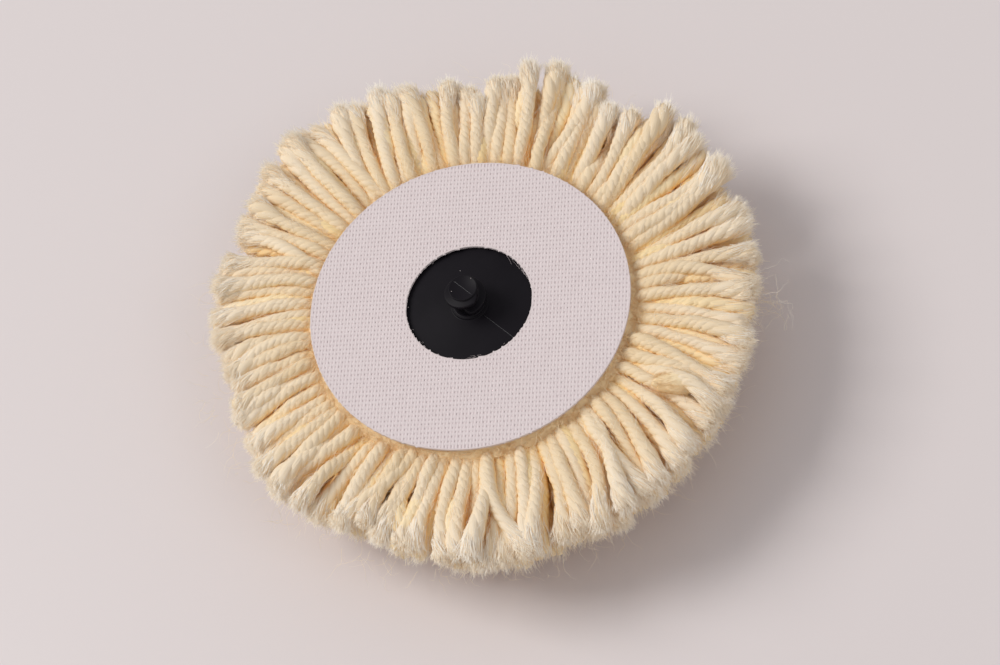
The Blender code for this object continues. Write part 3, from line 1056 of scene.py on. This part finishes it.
def make_cut_edge(name, inner, outer):
    """A cut edge of the cloth, stiff with size and glue: a thin ring with a rounded top."""
    shape = bmesh.new()
    rim = 0.08 * MM
    outline = [(inner, SHEET_BOTTOM), (outer, SHEET_BOTTOM)]
    top = CLOTH_TOP - 0.06 * MM
    outline += arc((outer - rim, top - rim), rim, 0, 90, 3)
    outline += arc((inner + rim, top - rim), rim, 90, 180, 3)
    turn_profile(shape, outline, 240, True)
    roughen(shape, 0.5 * MM, 0.05 * MM)
    return finish_mesh(shape, name, CUT_EDGE)


def thread_spans(offset):
    """Where a straight thread at this distance from the axis lies on the cloth: one or two spans."""
    outer = math.sqrt((CLOTH_RADIUS - 0.2 * MM) ** 2 - offset**2)
    hole = CLOTH_HOLE + 0.12 * MM
    if abs(offset) >= hole:
        return [(-outer, outer)]
    inner = math.sqrt(hole**2 - offset**2)
    return [(-outer, -inner), (inner, outer)]


def make_threads(name, spacing, crossing, width, angle, phase, level, material):
    """All the threads of one direction, as one piece."""
    curve = bpy.data.curves.new(name, "CURVE")
    curve.dimensions = "3D"
    curve.bevel_depth = width / 2.0
    curve.bevel_resolution = 1
    curve.use_fill_caps = True
    number = int(CLOTH_RADIUS / spacing)
    for index in range(-number, number + 1):
        offset = index * spacing
        if abs(offset) > CLOTH_RADIUS - 0.5 * MM:
            continue
        wobble = RANDOM.normal(0.0, 0.03 * spacing)
        for low, high in thread_spans(offset):
            points = max(4, int((high - low) / crossing * 2.0))
            spline = curve.splines.new("POLY")
            spline.points.add(points - 1)
            for place, point in zip(np.linspace(low, high, points), spline.points):
                wave = math.sin(math.pi * (place / crossing + index + phase))
                drift = 0.05 * spacing * math.sin(place / (6.0 * MM) + index)
                x = place
                y = offset + wobble + drift
                z = WEAVE_HEIGHT * wave / THREAD_FLATNESS
                point.co = (x * math.cos(angle) - y * math.sin(angle), x * math.sin(angle) + y * math.cos(angle), z, 1.0)
    holder = link(bpy.data.objects.new(name + "_curve", curve))
    mesh = bpy.data.meshes.new_from_object(holder.evaluated_get(bpy.context.evaluated_depsgraph_get()))
    bpy.data.objects.remove(holder)
    place = np.empty(len(mesh.vertices) * 3, dtype=np.float32)
    mesh.vertices.foreach_get("co", place)
    place[2::3] = place[2::3] * THREAD_FLATNESS + level
    mesh.vertices.foreach_set("co", place)
    mesh.update()
    mesh.name = name
    mesh.shade_smooth()
    mesh.materials.clear()
    mesh.materials.append(material)
    piece = link(bpy.data.objects.new(name, mesh))
    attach(piece, ROOT)
    print(name, "faces:", len(mesh.polygons))
    return piece


cloth = make_sheet()
warp = make_threads("cloth_warp_threads", WARP_SPACING, WEFT_SPACING, 0.655 * MM, WARP_ANGLE, 0.0,
                    CLOTH_TOP - 0.165 * MM, WARP_COTTON)
outer_edge = make_cut_edge("cloth_outer_edge", CLOTH_RADIUS - EDGE_WIDTH, CLOTH_RADIUS)
hole_edge = make_cut_edge("cloth_hole_edge", CLOTH_HOLE, CLOTH_HOLE + 0.45 * MM)
weft = make_threads("cloth_weft_threads", WEFT_SPACING, WARP_SPACING, 1.08 * MM, WEFT_ANGLE, 0.5,
                    CLOTH_TOP - 0.235 * MM, WEFT_COTTON)

# %% [markdown]
# ## What handling has left
# Use disturbs the pile. A few yarns cross over their neighbours, one has felted into a fat smooth lock,
# single hairs stand off the rim, and some have tangled at one side. At the cloth's hole a few cut
# threads have frayed. Tiny pale specks on the stud and the plate are painted glints.

# %% Crossing yarns and the felted lock
CROSSINGS = (
    (-163, 8), (-131, -7), (-104, 6), (-66, -7), (-40, -6), (-13, -7), (18, 7), (47, -6), (101, 8), (141, -7),
    (166, 6),
)
CROSSING_PATH = ((35.0, 22.6), (39.0, 24.4), (45.0, 25.9), (52.0, 26.3), (59.0, 25.6), (65.5, 24.6))


def crossing_lines():
    """Yarns that lie over the others at a slant."""
    profile = smooth_curve(CROSSING_PATH, YARN_POINTS) * MM
    share = np.linspace(0.0, 1.0, YARN_POINTS)
    made = []
    for place, slant in CROSSINGS:
        angle = np.radians(place + slant * share**1.3 + 2.0 * np.sin(4.0 * share + place))
        reach = around(TIP_REACH, angle[-1:]) - 1.0
        radius = profile[:, 0] + reach * (profile[-1, 0] - 20.0 * MM) * share**1.4
        made.append(np.stack((radius * np.cos(angle), radius * np.sin(angle), profile[:, 1]), axis=-1))
    return np.array(made)


lines = crossing_lines()
make_yarns("crossing_yarns", lines, 8, WOOL)
line, yarn, share = brush_lines(PLIED["crossing_yarns"], 70)
make_fibres("brushed_ends_crossing", line, yarn, WOOL_ENDS, along=share)

LOCK_CENTRE = (36.6, -40.2, 26.6)
LOCK_WAY = (0.903, -0.430, -0.06)
run = np.linspace(-1.0, 1.0, 25)
across = np.array((0.43, 0.903, 0.0))
lock = []
for length, offset, rise, bend in ((5.8, 0.0, 0.0, 0.8), (4.8, -0.9, -0.3, 0.2), (4.4, 0.9, -0.4, 1.3)):
    middle = np.array(LOCK_CENTRE) + offset * across + np.array((0.0, 0.0, rise))
    line = middle + length * run[:, None] * np.array(LOCK_WAY) + (bend * (1.0 - run**2))[:, None] * across
    line[:, 2] += 0.5 * (1.0 - run**2)
    lock.append(line * MM)
lock = np.array(lock)
fullness = np.sqrt(1.0 - 0.985 * np.abs(run) ** 2.0) * (1.0 + 0.08 * np.sin(5.0 * run + 1.0))
fullness = fullness[None] * np.array((2.15, 1.6, 1.5))[:, None] * MM
felted_lock = make_strands("felted_lock", lock, fullness, 16, np.array((0.1, 0.7, 0.4)), WOOL_FELT)
line, yarn, share = halo_lines(lock, 260, (1.5 * MM, 4.0 * MM), 0.9 * MM)
make_fibres("felted_lock_fibres", line, yarn, WOOL_FELT, HALO_RADIUS, along=share)

# %% Hairs at the rim
HAIR_RADIUS = 0.03 * MM
HAIR_LIMIT = 75.5 * MM


def hold_inside(line):
    """Keep hairs above the table and within the pad's own reach."""
    reach = np.hypot(line[..., 0], line[..., 1])
    shrink = np.minimum(1.0, HAIR_LIMIT / np.maximum(reach, 1e-6))
    line[..., 0] *= shrink
    line[..., 1] *= shrink
    line[..., 2] = np.clip(line[..., 2], 0.1 * MM, 34.0 * MM)
    return line


def rim_hairs(total):
    """Single hairs that stand off the brushed ends all round."""
    angle = RANDOM.uniform(0.0, math.tau, total)
    radius = RANDOM.uniform(60.0, 66.5, total) * MM
    height = RANDOM.uniform(14.0, 26.5, total) * MM
    starts = np.stack((radius * np.cos(angle), radius * np.sin(angle), height), axis=-1)
    heading = np.stack((np.cos(angle), np.sin(angle), np.zeros(total)), axis=-1)
    heading = heading + RANDOM.normal(0.0, 0.6, (total, 3))
    return hold_inside(wander(starts, heading, RANDOM.uniform(3.0, 8.0, total) * MM, 9, 0.28))


def tangle_hairs(total):
    """The tangle at one side: hairs that start together and curl round each other."""
    starts = np.array((61.0, -24.5, 21.0)) * MM + RANDOM.normal(0.0, 1.2, (total, 3)) * MM
    heading = np.array((1.0, -0.42, -0.25)) + RANDOM.normal(0.0, 0.25, (total, 3))
    return hold_inside(wander(starts, heading, RANDOM.uniform(14.0, 26.0, total) * MM, 26, 0.5))


hairs = rim_hairs(420)
make_fibres("rim_hairs", hairs, np.arange(len(hairs)), WOOL_ENDS, HAIR_RADIUS)
hairs = tangle_hairs(16)
make_fibres("tangled_hairs", hairs, np.arange(len(hairs)), WOOL_ENDS, HAIR_RADIUS)

# %% Frayed threads and painted glints


def frayed_lines(total, low, high, length):
    """Cut threads of the cloth that lie round its hole between two angles in degrees."""
    angle = np.radians(RANDOM.uniform(low, high, total))
    radius = RANDOM.uniform(14.3, 14.9, total) * MM
    starts = np.stack((radius * np.cos(angle), radius * np.sin(angle), np.full(total, CLOTH_TOP - 0.1 * MM)), axis=-1)
    heading = np.stack((-np.sin(angle), np.cos(angle), np.zeros(total)), axis=-1) * RANDOM.choice((-1.0, 1.0), (total, 1))
    heading = heading + RANDOM.normal(0.0, 0.12, (total, 3)) * np.array((1.0, 1.0, 0.3))
    line = wander(starts, heading, RANDOM.uniform(0.5, 1.0, total) * length * MM, 8, 0.06)
    line[..., 2] = np.clip(line[..., 2], CLOTH_TOP - 0.3 * MM, CLOTH_TOP + 0.15 * MM)
    return line


frays = np.concatenate((frayed_lines(9, 2.0, 38.0, 5.0), frayed_lines(5, -108.0, -101.0, 1.6),
                        frayed_lines(10, 0.0, 360.0, 0.6)))
frayed = make_fibres("frayed_cloth_threads", frays, np.arange(len(frays)), CUT_EDGE, 0.03 * MM)

# Painted glints: tiny pale specks, two on the rim of the stud's end and one on the plate, stand in for highlights.
GLINT_SPECKS = ((2.6, 1.5, STUD_TOP), (-2.7, 0.2, STUD_TOP), (0.9, 9.5, PLATE_TOP))
shape = bmesh.new()
for x, y, height in GLINT_SPECKS:
    made = bmesh.ops.create_icosphere(shape, subdivisions=1, radius=0.09 * MM)["verts"]
    bmesh.ops.translate(shape, verts=made, vec=(x * MM, y * MM, height))
finish_mesh(shape, "lint_specks", CUT_EDGE, smooth=False)

# %% [markdown]
# ## The hidden layers
# Glue, latex and the tufting cloth keep their CAD shapes, because they are plain discs. They get their
# own materials: clouded adhesive, bumpy tan rubber, and canvas with its own plain weave.

# %% Hidden layers
def give(node, material):
    """Put a material on a CAD node."""
    thing = bpy.data.objects[node]
    for slot in thing.material_slots:
        slot.material = material


def make_layer(name, colour, dark, roughness, scale, depth):
    """A poured or spread layer: clouded colour and a soft uneven surface."""
    material, tree, shader = start_material(name, roughness)
    place = tree.nodes.new("ShaderNodeTexCoord").outputs["Object"]
    cloud = tree.nodes.new("ShaderNodeTexNoise")
    cloud.inputs["Scale"].default_value = scale
    cloud.inputs["Detail"].default_value = 5.0
    tree.links.new(place, cloud.inputs["Vector"])
    tree.links.new(add_mix(tree, cloud.outputs["Fac"], dark, colour), shader.inputs["Base Color"])
    add_bump(tree, shader, cloud.outputs["Fac"], 0.5, depth)
    return material


def make_canvas():
    """Canvas: two sets of waves at right angles make the threads."""
    material, tree, shader = start_material("tufting_canvas_woven", 0.9)
    place = tree.nodes.new("ShaderNodeTexCoord").outputs["Object"]
    heights = []
    for direction in ("X", "Y"):
        wave = tree.nodes.new("ShaderNodeTexWave")
        wave.bands_direction = direction
        wave.inputs["Scale"].default_value = 300.0
        wave.inputs["Distortion"].default_value = 0.6
        tree.links.new(place, wave.inputs["Vector"])
        heights.append(wave.outputs["Fac"])
    woven = tree.nodes.new("ShaderNodeMath")
    woven.operation = "MULTIPLY"
    tree.links.new(heights[0], woven.inputs[0])
    tree.links.new(heights[1], woven.inputs[1])
    colour = add_mix(tree, woven.outputs[0], (0.40, 0.29, 0.16), (0.64, 0.50, 0.32))
    tree.links.new(colour, shader.inputs["Base Color"])
    add_bump(tree, shader, woven.outputs[0], 0.6, 0.15 * MM)
    return material


ADHESIVE = make_layer("adhesive_film_clouded", (0.74, 0.62, 0.38), (0.60, 0.47, 0.26), 0.35, 220.0, 0.05 * MM)
LATEX = make_layer("tan_latex_bumpy", (0.50, 0.35, 0.19), (0.34, 0.22, 0.11), 0.7, 900.0, 0.2 * MM)
give("cloth_glue", ADHESIVE)
give("plate_glue", ADHESIVE)
give("latex_coat", LATEX)
give("tufting_cloth", make_canvas())
